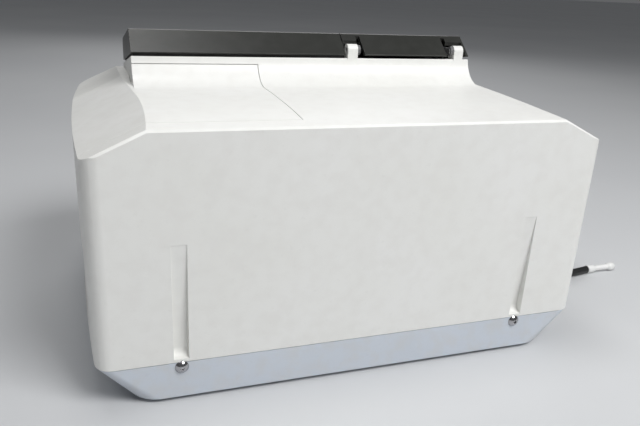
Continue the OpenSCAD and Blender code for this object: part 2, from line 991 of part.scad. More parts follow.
module latch_handle() {
    color("#333333")
        difference() {
            union() {
                translate([block_x - 30, y_of(latch_w), latch_z])
                    rotate([0, 90, 0])
                        cylinder(r = 4, h = 60);
                box(block_x - 30, block_x + 30, latch_w, body_d + 3.2, latch_z - 4, latch_z - 0.5);
                box(block_x - 30, block_x + 30, body_d - 0.3, body_d + 3.2, latch_z - 11, latch_z - 0.5);
                box(block_x - 6, block_x + 6, latch_w - 2, latch_w + 2, 228, latch_z);
                box(block_x - 6, block_x + 6, latch_w - 3.2, latch_w, 228, 231.8);
            }
            translate([block_x - 40, y_of(latch_w), latch_z])
                rotate([0, 90, 0])
                    cylinder(r = 2.06, h = 80);
        }
}

module latch_pin() {
    color("silver")
        translate([block_x - 36, y_of(latch_w), latch_z])
            rotate([0, 90, 0])
                cylinder(r = 2, h = 72);
}

// ---- lead ----

lead_r = lead_d / 2;
connector_x = -body_w / 2 - 6;
relief_x = connector_x - 34;
exit_y = y_of(inlet_w);

module lead_connector() {
    color("black") {
        box(connector_x - 34, connector_x, inlet_w - 13, inlet_w + 13, inlet_z - 10, inlet_z + 10);
        box(connector_x, connector_x + 15, inlet_w - 10.8, inlet_w + 10.8, inlet_z - 8.3, inlet_z + 8.3);
    }
}

module lead_strain_relief() {
    color("black")
        translate([relief_x, exit_y, inlet_z])
            rotate([0, -90, 0])
                cylinder(r1 = 8, r2 = lead_r + 0.8, h = 26);
}

// Rings along a route, one per point, each square to the route
function unit(v) = v / norm(v);
function heading(pts, i) = unit(pts[min(i + 1, len(pts) - 1)] - pts[max(i - 1, 0)]);
function ring(c, d, r, sides) =
    let (a = unit(cross(d, abs(d[2]) < 0.9 ? [0, 0, 1] : [1, 0, 0])), b = cross(a, d))
    [for (k = [0:sides - 1]) c + r * (cos(k * 360 / sides) * a + sin(k * 360 / sides) * b)];

module swept_tube(pts, r, sides) {
    rings = [for (i = [0:len(pts) - 1]) ring(pts[i], heading(pts, i), r, sides)];
    last = (len(pts) - 1) * sides;
    polyhedron(
        [for (one = rings) for (p = one) p],
        concat(
            [[for (k = [0:sides - 1]) k]],
            [for (i = [0:len(pts) - 2]) for (k = [0:sides - 1])
                let (n = (k + 1) % sides) [i * sides + k, i * sides + sides + k, i * sides + sides + n, i * sides + n]],
            [[for (k = [sides - 1:-1:0]) last + k]]));
}

// A smooth route through the points, as Catmull-Rom spans of a few steps each
function span(p0, p1, p2, p3, t) = 0.5 * (2 * p1 + (p2 - p0) * t + (2 * p0 - 5 * p1 + 4 * p2 - p3) * t * t
    + (3 * p1 - p0 - 3 * p2 + p3) * t * t * t);
function smooth(pts, steps) = concat(
    [for (i = [0:len(pts) - 2]) for (s = [0:steps - 1])
        span(pts[max(i - 1, 0)], pts[i], pts[i + 1], pts[min(i + 2, len(pts) - 1)], s / steps)],
    [pts[len(pts) - 1]]);

// From the strain relief down to the coil
run_route = [
    [-295, 45, 74], [-309, 44, 73], [-327, 38, 68], [-344, 24, 57],
    [-357, 3, 38], [-363, -20, 19], [-365, -44, 8], [-364, -70, 5], [-364, -97, 5]];
// From the coil past the inlet to the plug
tail_route = [
    [-250, -97, 14], [-249, -70, 14], [-248, -46, 10], [-248, -20, 5], [-250, 2, 5],
    [-259, 20, 5], [-276, 32, 5], [-298, 37, 5], [-322, 37, 5], [-345, 35, 5], [-369, 31, 5]];

module lead_run() {
    color("black")
        swept_tube(smooth(run_route, 2), lead_r, 8);
}

module lead_coil() {
    color("black")
        translate([coil_x, coil_y, 0])
            rotate_extrude()
                polygon([[33, 0.1], [66.6, 0.1], [66.6, 9.2], [57, 18.6], [36, 18.6], [33, 14]]);
}

module coil_tie() {
    color("dimgray")
        translate([coil_x, coil_y - 50, 9.8])
            difference() {
                cube([14, 36, 19.4], center = true);
                cube([16, 34.2, 17.6], center = true);
            }
}

module lead_tail() {
    color("black")
        swept_tube(smooth(tail_route, 2), lead_r, 8);
}

module lead_plug() {
    color("white")
        translate([-369, 31, 5.2])
            rotate([0, -90, 1.5]) {
                cylinder(r = 5.2, h = 12);
                cylinder(r = 4, h = 38);
                translate([0, 0, 34])
                    cylinder(r = 5.2, h = 9);
            }
}

base_pan();
rubber_feet();
base_screws();
rear_housing();
rear_screws();
display_side_cover();
front_housing();
right_vent_grille();
left_vent_grille();
front_intake_grille();
control_panel_shell();
panel_gasket();
display_bezel();
display_glass();
display_board();
standby_button();
usb_port();
block_surround();
sample_block();
block_gasket();
peltier_modules();
heat_sink();
block_bracket();
cooling_fan_frame();
cooling_fan_rotor();
exhaust_fan_frame();
exhaust_fan_rotor();
air_duct();
chassis_plate();
power_supply();
main_board();
mains_inlet();
switch_frame();
switch_rocker();
hinge_pins();
latch_catch();
lid_cover();
lid_frame();
lid_seal();
heated_plate();
plate_bolts();
plate_springs();
latch_handle();
latch_pin();
lead_connector();
lead_strain_relief();
lead_run();
lead_coil();
coil_tie();
lead_tail();
lead_plug();
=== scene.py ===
"""Looks of the bench-top thermal cycler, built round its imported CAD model.

Everything is in metres, in the CAD frame."""

import json
import math

import bmesh
import bpy
from mathutils import Matrix, Vector


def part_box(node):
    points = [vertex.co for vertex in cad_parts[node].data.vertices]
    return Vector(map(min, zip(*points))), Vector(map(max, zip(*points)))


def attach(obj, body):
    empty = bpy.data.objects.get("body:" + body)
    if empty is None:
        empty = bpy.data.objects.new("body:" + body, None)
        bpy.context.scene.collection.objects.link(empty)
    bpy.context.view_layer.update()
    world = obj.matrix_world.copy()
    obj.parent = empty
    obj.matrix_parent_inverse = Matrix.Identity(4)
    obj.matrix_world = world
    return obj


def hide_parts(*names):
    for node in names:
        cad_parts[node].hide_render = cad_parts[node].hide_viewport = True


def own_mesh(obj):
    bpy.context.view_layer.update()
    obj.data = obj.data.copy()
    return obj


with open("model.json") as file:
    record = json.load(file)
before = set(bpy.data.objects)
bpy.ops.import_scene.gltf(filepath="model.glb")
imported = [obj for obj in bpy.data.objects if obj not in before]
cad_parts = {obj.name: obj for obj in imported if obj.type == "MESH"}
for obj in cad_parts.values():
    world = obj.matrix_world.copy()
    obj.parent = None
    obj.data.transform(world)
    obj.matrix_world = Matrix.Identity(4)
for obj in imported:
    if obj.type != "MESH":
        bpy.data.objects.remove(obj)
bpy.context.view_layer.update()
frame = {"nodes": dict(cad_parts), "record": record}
NODE = frame["nodes"]
BODY = {n: b for b, members in frame["record"]["behaviour"]["bodies"].items() for n in members}
MM = 0.001
WORN = "worn"


# ---------------------------------------------------------------- camera

EYE = (0.2166, 0.634, 0.3445)
EYE_FORWARD = (-0.3185, -0.8823, -0.3455)
EYE_RIGHT = (-0.9456, 0.3217, 0.051)
SENSOR_MM = 36
LENS_MM = 36.56


def make_camera():
    data = bpy.data.cameras.new("camera")
    data.sensor_width = SENSOR_MM
    data.lens = LENS_MM
    data.clip_start, data.clip_end = 0.02, 60
    cam = bpy.data.objects.new("camera", data)
    bpy.context.scene.collection.objects.link(cam)
    forward = Vector(EYE_FORWARD).normalized()
    right = Vector(EYE_RIGHT)
    right = (right - right.dot(forward) * forward).normalized()
    up = right.cross(forward)
    cam.matrix_world = Matrix((
        (right.x, up.x, -forward.x, EYE[0]),
        (right.y, up.y, -forward.y, EYE[1]),
        (right.z, up.z, -forward.z, EYE[2]),
        (0, 0, 0, 1)))
    bpy.context.scene.camera = cam


# ---------------------------------------------------------------- mesh helpers

def new_object(name, mesh):
    obj = bpy.data.objects.new(name, mesh)
    bpy.context.scene.collection.objects.link(obj)
    return obj


def finish_mesh(name, bm, weighted=True):
    mesh = bpy.data.meshes.new(name)
    bm.normal_update()
    bm.to_mesh(mesh)
    bm.free()
    mesh.shade_smooth()
    obj = new_object(name, mesh)
    if weighted:
        mod = obj.modifiers.new("even_normals", "WEIGHTED_NORMAL")
        mod.keep_sharp = True
        mod.weight = 60
    return obj


def put(obj, node=None, material=None, body=None, replaces=()):
    """Gives a piece its material and body, and hides the CAD nodes it stands for."""
    if material is not None:
        obj.data.materials.clear()
        for m in material if isinstance(material, (list, tuple)) else [material]:
            obj.data.materials.append(m)
    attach(obj, body or BODY[node])
    names = list(replaces) or ([node] if node else [])
    if names:
        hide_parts(*names)
    return obj


def clean_copy(node):
    """A node's mesh, welded, with the triangles of each flat face joined."""
    bm = bmesh.new()
    bm.from_mesh(NODE[node].data)
    bmesh.ops.remove_doubles(bm, verts=bm.verts, dist=1e-5)
    bmesh.ops.dissolve_limit(bm, angle_limit=math.radians(0.12), verts=bm.verts, edges=bm.edges)
    bmesh.ops.dissolve_degenerate(bm, dist=2e-5, edges=bm.edges)
    return bm


def soften(name, node, width, segments=2, angle=25):
    """A copy of a CAD node with its sharp edges rounded.

    The rounded faces carry the attribute that wear follows."""
    bm = clean_copy(node)
    sharp = [e for e in bm.edges
             if len(e.link_faces) == 2 and abs(e.calc_face_angle(0)) > math.radians(angle)]
    made = bmesh.ops.bevel(bm, geom=sharp, offset=width, offset_type="OFFSET", segments=segments, profile=0.5,
                           affect="EDGES", clamp_overlap=True, loop_slide=True)
    layer = bm.verts.layers.float.new(WORN)
    for f in made["faces"]:
        for v in f.verts:
            v[layer] = 1.0
    bmesh.ops.recalc_face_normals(bm, faces=bm.faces)
    return finish_mesh(name, bm)


def lathe(bm, profile, place, sides=48, material=0):
    """Turns (radius, height) points about Z, then moves them by a matrix. A zero radius closes the end."""
    rings = []
    for r, z in profile:
        if r < 1e-9:
            rings.append([bm.verts.new(place @ Vector((0, 0, z)))])
        else:
            rings.append([bm.verts.new(place @ Vector((r * math.cos(a), r * math.sin(a), z)))
                          for a in (2 * math.pi * k / sides for k in range(sides))])
    for a, b in zip(rings, rings[1:]):
        for k in range(sides):
            n = (k + 1) % sides
            if len(a) == 1 and len(b) == 1:
                continue
            if len(a) == 1:
                f = bm.faces.new((a[0], b[n], b[k]))
            elif len(b) == 1:
                f = bm.faces.new((a[k], a[n], b[0]))
            else:
                f = bm.faces.new((a[k], a[n], b[n], b[k]))
            f.material_index = material
            f.smooth = True


def tube(bm, points, radius, sides=8):
    """A closed tube along points."""
    last = len(points) - 1
    rings, side = [], None
    for i, p in enumerate(points):
        d = (points[min(i + 1, last)] - points[max(i - 1, 0)]).normalized()
        side = d.orthogonal() if side is None else side - side.dot(d) * d
        side = side.normalized()
        other = d.cross(side)
        rings.append([bm.verts.new(p + radius * (math.cos(a) * side + math.sin(a) * other))
                      for a in (2 * math.pi * k / sides for k in range(sides))])
    for a, b in zip(rings, rings[1:]):
        for k in range(sides):
            f = bm.faces.new((a[k], a[(k + 1) % sides], b[(k + 1) % sides], b[k]))
            f.smooth = True
    for ring, turn in ((rings[0], -1), (rings[-1], 1)):
        bm.faces.new(ring[::turn])


def block(bm, lo, hi, round_by, segments=2):
    """A box between two corners with rounded edges, as part of a larger piece."""
    size = [b - a for a, b in zip(lo, hi)]
    mid = Vector([(a + b) / 2 for a, b in zip(lo, hi)])
    made = bmesh.ops.create_cube(bm, size=1, matrix=Matrix.Translation(mid) @ Matrix.Diagonal((*size, 1)))
    edges = list({e for v in made["verts"] for e in v.link_edges})
    bmesh.ops.bevel(bm, geom=edges, offset=round_by, segments=segments, profile=0.5, affect="EDGES",
                    clamp_overlap=True)


# ---------------------------------------------------------------- materials

PLASTIC_IOR = 1.5


class Paint:
    """Builds one procedural material on the shader of a new material."""

    def __init__(self, name, rough, metallic=0.0, coat=0.0, coat_rough=0.1):
        self.material = bpy.data.materials.new(name)
        self.material.use_nodes = True
        self.tree = self.material.node_tree
        self.shader = self.tree.nodes["Principled BSDF"]
        self.shader.inputs["Roughness"].default_value = rough
        self.shader.inputs["Metallic"].default_value = metallic
        self.shader.inputs["Coat Weight"].default_value = coat
        self.shader.inputs["Coat Roughness"].default_value = coat_rough
        self.shader.inputs["IOR"].default_value = PLASTIC_IOR
        self.where = self.add("ShaderNodeTexCoord").outputs["Object"]
        self.bump = None

    def add(self, kind, **values):
        node = self.tree.nodes.new(kind)
        for key, value in values.items():
            setattr(node, key, value)
        return node

    def join(self, a, b):
        self.tree.links.new(a, b)

    def noise(self, size, detail=3.0, stretch=(1, 1, 1), rough=0.5, offset=0.0):
        """Noise whose blotches are about `size` metres across."""
        where = self.add("ShaderNodeMapping")
        where.inputs["Scale"].default_value = [s / size for s in stretch]
        where.inputs["Location"].default_value = (offset, offset * 0.7, offset * 1.3)
        self.join(self.where, where.inputs["Vector"])
        noise = self.add("ShaderNodeTexNoise")
        noise.inputs["Scale"].default_value = 1.0
        noise.inputs["Detail"].default_value = detail
        noise.inputs["Roughness"].default_value = rough
        self.join(where.outputs["Vector"], noise.inputs["Vector"])
        return noise.outputs["Fac"]

    def spread(self, value, low, high, to_low=0.0, to_high=1.0):
        node = self.add("ShaderNodeMapRange")
        node.clamp = True
        for key, number in (("From Min", low), ("From Max", high), ("To Min", to_low), ("To Max", to_high)):
            node.inputs[key].default_value = number
        self.join(value, node.inputs["Value"])
        return node.outputs["Result"]

    def times(self, a, b):
        node = self.add("ShaderNodeMath", operation="MULTIPLY")
        for k, value in enumerate((a, b)):
            if isinstance(value, (int, float)):
                node.inputs[k].default_value = value
            else:
                self.join(value, node.inputs[k])
        return node.outputs["Value"]

    def mix(self, share, a, b):
        node = self.add("ShaderNodeMix", data_type="RGBA", blend_type="MIX")
        for k, value in ((0, share), (6, a), (7, b)):
            if isinstance(value, (int, float)):
                node.inputs[k].default_value = value
            elif isinstance(value, (tuple, list)):
                node.inputs[k].default_value = (*value[:3], 1)
            else:
                self.join(value, node.inputs[k])
        return node.outputs[2]

    def relief(self, height, distance):
        node = self.add("ShaderNodeBump")
        node.inputs["Distance"].default_value = distance
        node.inputs["Strength"].default_value = 1.0
        self.join(height, node.inputs["Height"])
        if self.bump is not None:
            self.join(self.bump, node.inputs["Normal"])
        self.bump = node.outputs["Normal"]

    def worn(self):
        """How worn the surface is: rounded edges, broken up by noise."""
        edge = self.add("ShaderNodeAttribute", attribute_type="GEOMETRY", attribute_name=WORN)
        return self.times(edge.outputs["Fac"], self.spread(self.noise(0.012, 4), 0.42, 0.68))

    def done(self, color, rough=None):
        if isinstance(color, (tuple, list)):
            self.shader.inputs["Base Color"].default_value = (*color[:3], 1)
        else:
            self.join(color, self.shader.inputs["Base Color"])
        if rough is not None:
            self.join(rough, self.shader.inputs["Roughness"])
        if self.bump is not None:
            self.join(self.bump, self.shader.inputs["Normal"])
        return self.material


def shade(color, factor, tint=(1, 1, 1)):
    return tuple(min(1.0, c * factor * t) for c, t in zip(color, tint))


def moulded(name, color, rough, grain=0.0005, depth=0.00002, tint=(1, 1, 1), vary=0.04, worn_to=None, wear=0.5,
            coat=0.0, flow=True, swing=0.05, wave=0.00004):
    """Moulded plastic: fine eroded grain, faint flow marks and blotches, handled edges."""
    p = Paint(name, rough, coat=coat)
    blotch = p.spread(p.noise(0.09, 4), 0.3, 0.7)
    hue = p.mix(blotch, shade(color, 1 - vary, tint), shade(color, 1 + vary / 2))
    if flow:
        marks = p.spread(p.noise(0.05, 3, stretch=(1.0, 1.0, 0.08), offset=3.1), 0.35, 0.75)
        hue = p.mix(p.times(marks, 0.35), hue, shade(color, 1 - vary * 1.6, tint))
    specks = p.spread(p.noise(0.004, 2, offset=7.7), 0.66, 0.74)
    hue = p.mix(p.times(specks, 0.10), hue, shade(color, 0.72, tint))
    if worn_to is not None:
        hue = p.mix(p.times(p.worn(), wear), hue, worn_to)
    p.relief(p.noise(grain, 2, rough=0.6), depth)
    p.relief(p.noise(0.04, 2, offset=1.9), wave)
    shine = p.spread(p.noise(0.035, 5, offset=5.5), 0.3, 0.7, rough - swing, rough + swing)
    return p.done(hue, shine)


def metal(name, color, rough, brush=(1, 1, 1), size=0.0006, depth=0.000006, vary=0.10, blasted=False):
    """Metal with brushed, rolled or blasted grain and a little staining."""
    p = Paint(name, rough, metallic=1.0)
    stain = p.spread(p.noise(0.02, 5), 0.3, 0.75)
    hue = p.mix(stain, shade(color, 1 - vary, (1, 0.99, 0.97)), shade(color, 1 + vary / 2))
    grain = p.noise(size, 3, stretch=brush, rough=0.6)
    p.relief(grain, depth * (2.5 if blasted else 1))
    shine = p.spread(grain, 0.3, 0.7, max(rough - 0.06, 0.03), rough + 0.10)
    return p.done(hue, shine)


def rubber(name, color, rough):
    p = Paint(name, rough)
    bloom = p.spread(p.noise(0.015, 5), 0.45, 0.8)
    hue = p.mix(p.times(bloom, 0.6), color, shade((c + 0.03 for c in color), 1))
    p.relief(p.noise(0.0004, 2), 0.00002)
    return p.done(hue, p.spread(p.noise(0.02, 4, offset=2.2), 0.3, 0.7, rough - 0.08, rough + 0.08))


def screen(name, color):
    """Polished glass over an unlit display, with faint finger marks."""
    p = Paint(name, 0.06, coat=0.3, coat_rough=0.04)
    haze = p.spread(p.noise(0.03, 5, rough=0.65), 0.5, 0.8)
    hue = p.mix(p.times(haze, 0.12), color, shade((c + 0.02 for c in color), 1.6))
    return p.done(hue, p.spread(p.noise(0.018, 6, rough=0.7, offset=4.4), 0.45, 0.75, 0.05, 0.16))


def board(name, color):
    """Solder mask with copper tracks showing faintly through it."""
    p = Paint(name, 0.35, coat=0.2)
    wave = p.add("ShaderNodeTexWave", wave_type="BANDS", bands_direction="X")
    wave.inputs["Scale"].default_value = 160
    wave.inputs["Distortion"].default_value = 6
    p.join(p.where, wave.inputs["Vector"])
    track = p.spread(wave.outputs["Fac"], 0.62, 0.7)
    hue = p.mix(p.times(track, 0.5), color, shade(color, 1.9))
    p.relief(track, 0.00003)
    return p.done(hue, p.spread(p.noise(0.01, 4), 0.3, 0.7, 0.3, 0.45))


WHITE = (0.875, 0.875, 0.855)
# The base colour is its own grey plus a blue cast that is a painted reflection of blue surroundings.
BASE_GREY_WITH_BLUE_REFLECTION = (0.64, 0.685, 0.75)
BLACK = (0.022, 0.023, 0.020)


def make_materials():
    return {
        "shell_white": moulded("shell_white", WHITE, 0.42, tint=(1.0, 1.0, 0.985), vary=0.02,
                               worn_to=(0.80, 0.79, 0.76), wear=0.35),
        # The base material carries that painted blue reflection in its colour and in the tint of its darker
        # blotches.
        "base_grey": moulded("base_grey", BASE_GREY_WITH_BLUE_REFLECTION, 0.45, tint=(0.985, 0.995, 1.0),
                             worn_to=(0.62, 0.63, 0.64), wear=0.5),
        "panel_black": moulded("panel_black", BLACK, 0.36, grain=0.0007, depth=0.00003, vary=0.05,
                               worn_to=(0.06, 0.06, 0.057), wear=0.15, flow=False, swing=0.015,
                               wave=0.00001),
        "display_black": moulded("display_black", (0.012, 0.012, 0.014), 0.16, depth=0.000003,
                                 flow=False, coat=0.3),
        "display_glass": screen("display_glass", (0.006, 0.008, 0.012)),
        "rubber_black": rubber("rubber_black", (0.018, 0.018, 0.018), 0.75),
        "screw_chrome": metal("screw_chrome", (0.46, 0.46, 0.48), 0.14, depth=0.000003),
        "steel": metal("steel", (0.52, 0.53, 0.54), 0.34, brush=(0.15, 1, 1)),
        "block_aluminium": metal("block_aluminium", (0.74, 0.75, 0.76), 0.36, blasted=True),
        "sink_aluminium": metal("sink_aluminium", (0.50, 0.51, 0.53), 0.42, brush=(1, 0.08, 1)),
        "module_white": moulded("module_white", (0.82, 0.81, 0.77), 0.6, flow=False),
        "grille_grey": moulded("grille_grey", (0.085, 0.088, 0.092), 0.45, worn_to=(0.2, 0.2, 0.2)),
        "inner_grey": moulded("inner_grey", (0.14, 0.14, 0.145), 0.5, worn_to=(0.28, 0.28, 0.28)),
        "board_green": board("board_green", (0.012, 0.085, 0.035)),
        "fan_black": moulded("fan_black", (0.024, 0.024, 0.026), 0.4, flow=False),
        "key_grey": moulded("key_grey", (0.065, 0.065, 0.07), 0.38, worn_to=(0.18, 0.18, 0.18),
                            flow=False),
        "lead_black": moulded("lead_black", (0.016, 0.016, 0.016), 0.42, grain=0.0009, flow=False,
                              vary=0.15),
        "plug_white": moulded("plug_white", (0.86, 0.86, 0.85), 0.25, depth=0.000006, flow=False),
        "plug_grey": moulded("plug_grey", (0.42, 0.43, 0.44), 0.35, flow=False),
        "mark_white": moulded("mark_white", (0.75, 0.75, 0.74), 0.5, flow=False),
        "copper": metal("copper", (0.70, 0.38, 0.22), 0.35),
        "inductor": moulded("inductor", (0.05, 0.045, 0.04), 0.6, flow=False),
    }


# ---------------------------------------------------------------- lead

RUN = [(-270, 45, 74), (-283, 45, 74), (-295, 45, 74), (-309, 44, 73), (-327, 38, 68), (-344, 24, 57),
       (-357, 3, 38), (-363, -20, 19), (-365, -44, 8), (-364, -70, 5)]
TAIL = [(-249, -70, 14), (-248, -46, 10), (-248, -20, 5), (-250, 2, 5), (-259, 20, 5), (-276, 32, 5),
        (-298, 37, 5), (-322, 37, 5), (-345, 35, 5), (-369, 31, 5)]
COIL = (-302, -97)
COIL_OUTER = 62
COIL_INNER = 37.9
COIL_PITCH = 9.1
TURNS = 4.5
TURNS_IN = 2.65
TURNS_ON_TOP = 2.95
STEPS_PER_TURN = 16
LEAD_D = 9.0
BOOT_END = (-269, 45, 74)
GRIP_END = -235.0
CAP_END = (-369, 31, 5.2)


def coil_points():
    """Turns wound inwards on the bench, then outwards on top of them."""
    steps = int(TURNS * STEPS_PER_TURN)
    out = []
    for i in range(steps + 1):
        t = TURNS * i / steps
        if t < TURNS_IN:
            r = COIL_OUTER - COIL_PITCH * t
        else:
            r = COIL_INNER + COIL_PITCH * max(0.0, t - TURNS_ON_TOP)
        rise = min(max((t - 2.6) / 0.35, 0), 1)
        z = 4.7 + 9.4 * rise * rise * (3 - 2 * rise)
        a = math.pi + 2 * math.pi * t
        out.append((COIL[0] + r * math.cos(a), COIL[1] + r * math.sin(a), z))
    return out


def lead_curve(mats):
    route = [Vector(p) * MM for p in RUN + coil_points() + TAIL]
    data = bpy.data.curves.new("mains_lead", "CURVE")
    data.dimensions = "3D"
    data.bevel_depth = LEAD_D / 2 * MM
    data.bevel_resolution = 5
    data.resolution_u = 6
    data.use_fill_caps = True
    spline = data.splines.new("BEZIER")
    spline.bezier_points.add(len(route) - 1)
    for i, (point, p) in enumerate(zip(spline.bezier_points, route)):
        before, after = route[max(i - 1, 0)], route[min(i + 1, len(route) - 1)]
        along = (after - before).normalized()
        point.co = p
        point.handle_left_type = point.handle_right_type = "FREE"
        point.handle_left = p - along * (p - before).length / 3
        point.handle_right = p + along * (after - p).length / 3
    lead = new_object("mains_lead", data)
    return put(lead, "lead_run", mats["lead_black"], replaces=["lead_run", "lead_coil", "lead_tail"])


def strain_boot(mats):
    """A tapered, ribbed boot where the lead leaves the connector."""
    bm = bmesh.new()
    relief = Matrix.Translation(Vector(BOOT_END) * MM) @ Matrix.Rotation(-math.pi / 2, 4, "Y")
    profile = [(0, 0), (0.0079, 0)]
    for k in range(6):
        z0, share = 0.0015 + k * 0.0039, k / 6
        wide, thin = 0.0079 - share * 0.0024, 0.0064 - share * 0.0013
        profile += [(wide, z0), (wide, z0 + 0.0022), (thin, z0 + 0.0026), (thin, z0 + 0.0036)]
    profile += [(0.0053, 0.0252), (0.0051, 0.0259), (0, 0.0259)]
    lathe(bm, profile, relief, 40)
    return put(finish_mesh("lead_strain_boot", bm), "lead_strain_relief", mats["lead_black"])


def connector_body(mats):
    """The grip with its ribs outside the inlet and the slimmer part that goes in."""
    bm = bmesh.new()
    lo, hi = (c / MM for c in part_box("lead_connector"))
    x0, x1, x2 = lo.x, GRIP_END, hi.x
    y0, y1, z0, z1 = lo.y, hi.y, lo.z, hi.z
    block(bm, (x0 * MM, y0 * MM, z0 * MM), (x1 * MM, y1 * MM, z1 * MM), 0.0032, 3)
    block(bm, ((x1 - 1) * MM, (y0 + 2.2) * MM, (z0 + 1.7) * MM),
          (x2 * MM, (y1 - 2.2) * MM, (z1 - 1.7) * MM), 0.0018)
    for k in range(5):
        x = x0 + 8 + k * 3.6
        for y in (y0 + 0.15, y1 - 1.15):
            block(bm, (x * MM, y * MM, (z0 + 3.6) * MM),
                  ((x + 1.7) * MM, (y + 1) * MM, (z1 - 3.6) * MM), 0.0004, 1)
    return put(finish_mesh("lead_connector_body", bm), "lead_connector", mats["lead_black"])


def end_cap(mats):
    """The slim white end piece: a collar, a ribbed neck and a rounded nose."""
    bm = bmesh.new()
    tip = Matrix.Translation(Vector(CAP_END) * MM) @ Matrix.Rotation(math.radians(1.5), 4, "Z") \
        @ Matrix.Rotation(-math.pi / 2, 4, "Y")
    lathe(bm, [(0, 0), (0.0047, 0), (0.00515, 0.0006), (0.0052, 0.0022), (0.0051, 0.0085), (0.0044, 0.0112),
               (0.0040, 0.0118)], tip, 40)
    ribs = [(0.0040, 0.0118)]
    for k in range(6):
        z0 = 0.0130 + k * 0.0033
        ribs += [(0.0038, z0), (0.0038, z0 + 0.0012), (0.0033, z0 + 0.0014), (0.0033, z0 + 0.0026)]
    ribs += [(0.0040, 0.0336)]
    lathe(bm, ribs, tip, 40, 1)
    lathe(bm, [(0.0040, 0.0336), (0.0049, 0.0345), (0.0052, 0.0362), (0.0052, 0.0398), (0.0048, 0.0417),
               (0.0038, 0.0427), (0.0020, 0.0430), (0, 0.0430)], tip, 40)
    bmesh.ops.remove_doubles(bm, verts=bm.verts, dist=1e-6)
    return put(finish_mesh("lead_end_cap", bm), "lead_plug", [mats["plug_white"], mats["plug_grey"]])


def coil_strap(mats):
    """A flat strap round both layers of the coil, with its buckle."""
    bm = bmesh.new()
    mid = COIL[1] - 50
    centre_z, half_y, half_z = 9.35, 17.4, 9.05
    squareness, points, half_wide, inner = 0.42, 40, 5.0, 0.945
    loop = []
    for k in range(points):
        a = 2 * math.pi * k / points
        c, s = math.cos(a), math.sin(a)
        y = half_y * math.copysign(abs(c) ** squareness, c)
        z = centre_z + half_z * math.copysign(abs(s) ** squareness, s)
        loop.append((mid + y, z))
    rings = []
    for x, shrink in ((-half_wide, 1.0), (half_wide, 1.0), (half_wide, inner), (-half_wide, inner)):
        rings.append([bm.verts.new(Vector((COIL[0] + x, mid + (y - mid) * shrink,
                                           centre_z + (z - centre_z) * shrink)) * MM)
                      for y, z in loop])
    for a, b in zip(rings, rings[1:] + rings[:1]):
        for k in range(len(loop)):
            n = (k + 1) % len(loop)
            bm.faces.new((a[k], a[n], b[n], b[k]))
    block(bm, tuple(v * MM for v in (COIL[0] - 4, mid - 17.9, 5)),
          tuple(v * MM for v in (COIL[0] + 4, mid - 15.4, 11)), 0.0006)
    bmesh.ops.recalc_face_normals(bm, faces=bm.faces)
    return put(finish_mesh("coil_strap", bm), "coil_tie", mats["lead_black"])


def make_lead(mats):
    lead = lead_curve(mats)
    boot = strain_boot(mats)
    plug = connector_body(mats)
    end = end_cap(mats)
    tie = coil_strap(mats)


make_camera()
MATS = make_materials()
make_lead(MATS)


# ---------------------------------------------------------------- casing

def make_casing(m):
    put(soften("rear_housing_shell", "rear_housing", 0.0007), "rear_housing", m["shell_white"])
    put(soften("front_housing_shell", "front_housing", 0.0007), "front_housing", m["shell_white"])
    put(soften("roof_cover", "display_side_cover", 0.0005), "display_side_cover", m["shell_white"])
    put(soften("base_pan_shell", "base_pan", 0.0007), "base_pan", m["base_grey"])
    for node in ("right_vent_grille", "left_vent_grille", "front_intake_grille"):
        put(soften(node + "_bars", node, 0.0004), node, m["grille_grey"])
    put(soften("feet", "rubber_feet", 0.0005), "rubber_feet", m["rubber_black"])
    put(soften("foot_screws", "base_screws", 0.0002), "base_screws", m["steel"])
    put(soften("rear_screw_heads", "rear_screws", 0.0002, angle=35), "rear_screws", m["screw_chrome"])


def make_panel(m):
    put(soften("control_panel", "control_panel_shell", 0.0011, 3), "control_panel_shell", m["panel_black"])
    put(soften("panel_seat", "panel_gasket", 0.0003), "panel_gasket", m["rubber_black"])
    put(soften("display_surround", "display_bezel", 0.0004), "display_bezel", m["display_black"])
    put(soften("display_window", "display_glass", 0.0003), "display_glass", m["display_glass"])
    put(soften("display_electronics", "display_board", 0.0002), "display_board", m["board_green"])
    put(soften("usb_shell", "usb_port", 0.0002), "usb_port", m["steel"])
    lo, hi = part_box("usb_port")
    bm = bmesh.new()
    block(bm, (lo.x + 0.003, lo.y + 0.0006, lo.z + 0.0028),
          (hi.x - 0.003, lo.y + 0.0095, lo.z + 0.0046), 0.0002, 1)
    put(finish_mesh("usb_tongue", bm), body="casing", material=m["fan_black"])


TOP_SLOPE = math.radians(10)


def slope_frame(node):
    """Axes of the sloping top face, with the origin at the middle of a node's top."""
    lo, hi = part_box(node)
    mid = (lo + hi) / 2
    up = Vector((0, -math.sin(TOP_SLOPE), math.cos(TOP_SLOPE)))
    mesh = NODE[node].data
    height = max((v.co - mid).dot(up) for v in mesh.vertices)
    return Matrix.Translation(mid + up * height) @ Matrix.Rotation(TOP_SLOPE, 4, "X")


MARK_R = 0.00028
MARK_RING = 0.0026


def make_button(m):
    node = "standby_button"
    place = slope_frame(node)
    bm = bmesh.new()
    stem = [(0, -0.0099), (0.003, -0.0099), (0.003, -0.006)]
    rim = [(0.0066, -0.006), (0.0068, -0.0057), (0.0068, -0.0009), (0.0065, -0.0003), (0.0060, -0.0001)]
    dish = [(0.0040, -0.00035), (0.0020, -0.0005), (0, -0.00055)]
    lathe(bm, stem + rim + dish, place, 48)
    put(finish_mesh("standby_key", bm), node, m["key_grey"])
    bm = bmesh.new()
    arc = [place @ Vector((MARK_RING * math.sin(a), MARK_RING * math.cos(a), -0.00038))
           for a in (math.radians(40 + 280 * k / 24) for k in range(25))]
    tube(bm, arc, MARK_R)
    tube(bm, [place @ Vector((0, y, -0.0004)) for y in (0.0008, 0.0016, 0.0024, 0.0032)], MARK_R)
    put(finish_mesh("standby_mark", bm), body="button", material=m["mark_white"])


# ---------------------------------------------------------------- block, lid and latch

WELL_COLUMNS = 12
WELL_ROWS = 8
WELL_PITCH = 0.009


